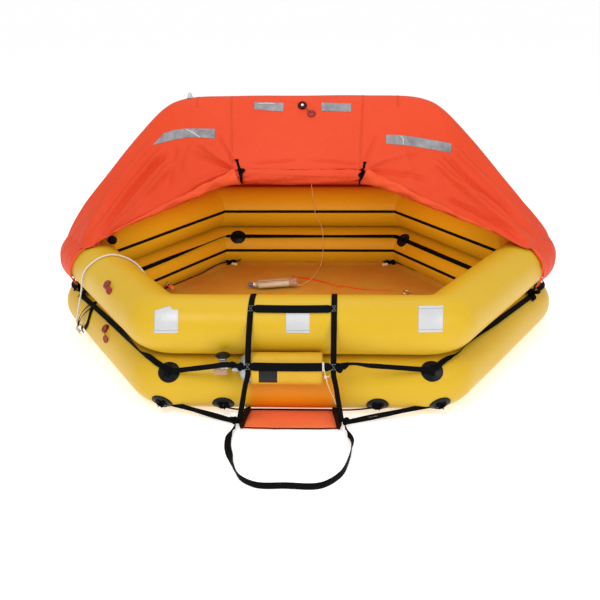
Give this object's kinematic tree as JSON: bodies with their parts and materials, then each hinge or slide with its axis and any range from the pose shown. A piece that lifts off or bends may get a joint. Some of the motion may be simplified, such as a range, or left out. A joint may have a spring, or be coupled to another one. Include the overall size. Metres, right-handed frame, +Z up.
{
  "type": "inflatable life raft",
  "caption": "Six-sided inflatable life raft with two stacked tubes, an arched orange canopy with its front doorway rolled up, and a webbing boarding ladder with a stirrup.",
  "frame": {"origin": "centre of the six-sided hull on its underside, level with the ground", "axes": "+Z up, -Y towards the boarding side, +X to the right seen from the boarding side"},
  "size_m": [2.5368, 2.6455, 1.1812],
  "materials": {
    "tube": "satin coated fabric",
    "canopy": "matt proofed cloth",
    "floor": "satin coated fabric",
    "webbing": "woven webbing",
    "rubber": "matt rubber",
    "steel": "brushed",
    "valve_red": "gloss",
    "clear_plastic": "clear",
    "rope": "braided cord"
  },
  "bodies": {
    "raft": {"arch_tube": "tube", "arch_valve": "rubber", "ballast_patch_1": "rubber", "ballast_patch_2": "rubber", "ballast_patch_3": "rubber", "ballast_patch_4": "rubber", "battery_bag": "clear_plastic", "bottle_sleeve": "tube", "bottle_valve": "steel", "bottle_valve_knob": "rubber", "canopy_left": "canopy", "canopy_middle": "canopy", "canopy_right": "canopy", "door_roll": "canopy", "door_strap_left": "webbing", "door_strap_right": "webbing", "gas_bottle": "steel", "grab_line_back": "webbing", "grab_line_front_left": "webbing", "grab_line_front_right": "webbing", "grab_line_left": "webbing", "grab_line_right": "webbing", "grab_patch_back_left": "rubber", "grab_patch_back_right": "rubber", "grab_patch_front_left": "rubber", "grab_patch_front_right": "rubber", "hand_line": "webbing", "hand_torch": "canopy", "inner_lamp": "clear_plastic", "inner_patch_back_left": "rubber", "inner_patch_back_right": "rubber", "inner_patch_front_left": "rubber", "inner_patch_front_right": "rubber", "ladder_cord": "rope", "ladder_rung_lower": "webbing", "ladder_rung_upper": "webbing", "ladder_stay_left": "webbing", "ladder_stay_right": "webbing", "ladder_strap_left": "webbing", "ladder_strap_right": "webbing", "lamp_lead": "rope", "line_pouch": "floor", "lower_tube": "tube", "painter_ring": "steel", "painter_rope": "rope", "painter_strap": "webbing", "raft_floor": "floor", "relief_valve_lower": "valve_red", "relief_valve_upper": "valve_red", "ridge_lamp": "clear_plastic", "side_tie_left": "webbing", "side_tie_right": "webbing", "step_end_left": "rubber", "step_end_right": "rubber", "step_panel": "canopy", "upper_tube": "tube"},
    "stirrup": {"stirrup_loop": "webbing"}
  },
  "joints": [
    {"name": "stirrup_swing", "type": "hinge", "parent": "raft", "child": "stirrup", "pos_m": [-0.0375, -1.166, 0.015], "axis": [-1, 0, 0], "range_deg": [-90, 75]}
  ]
}
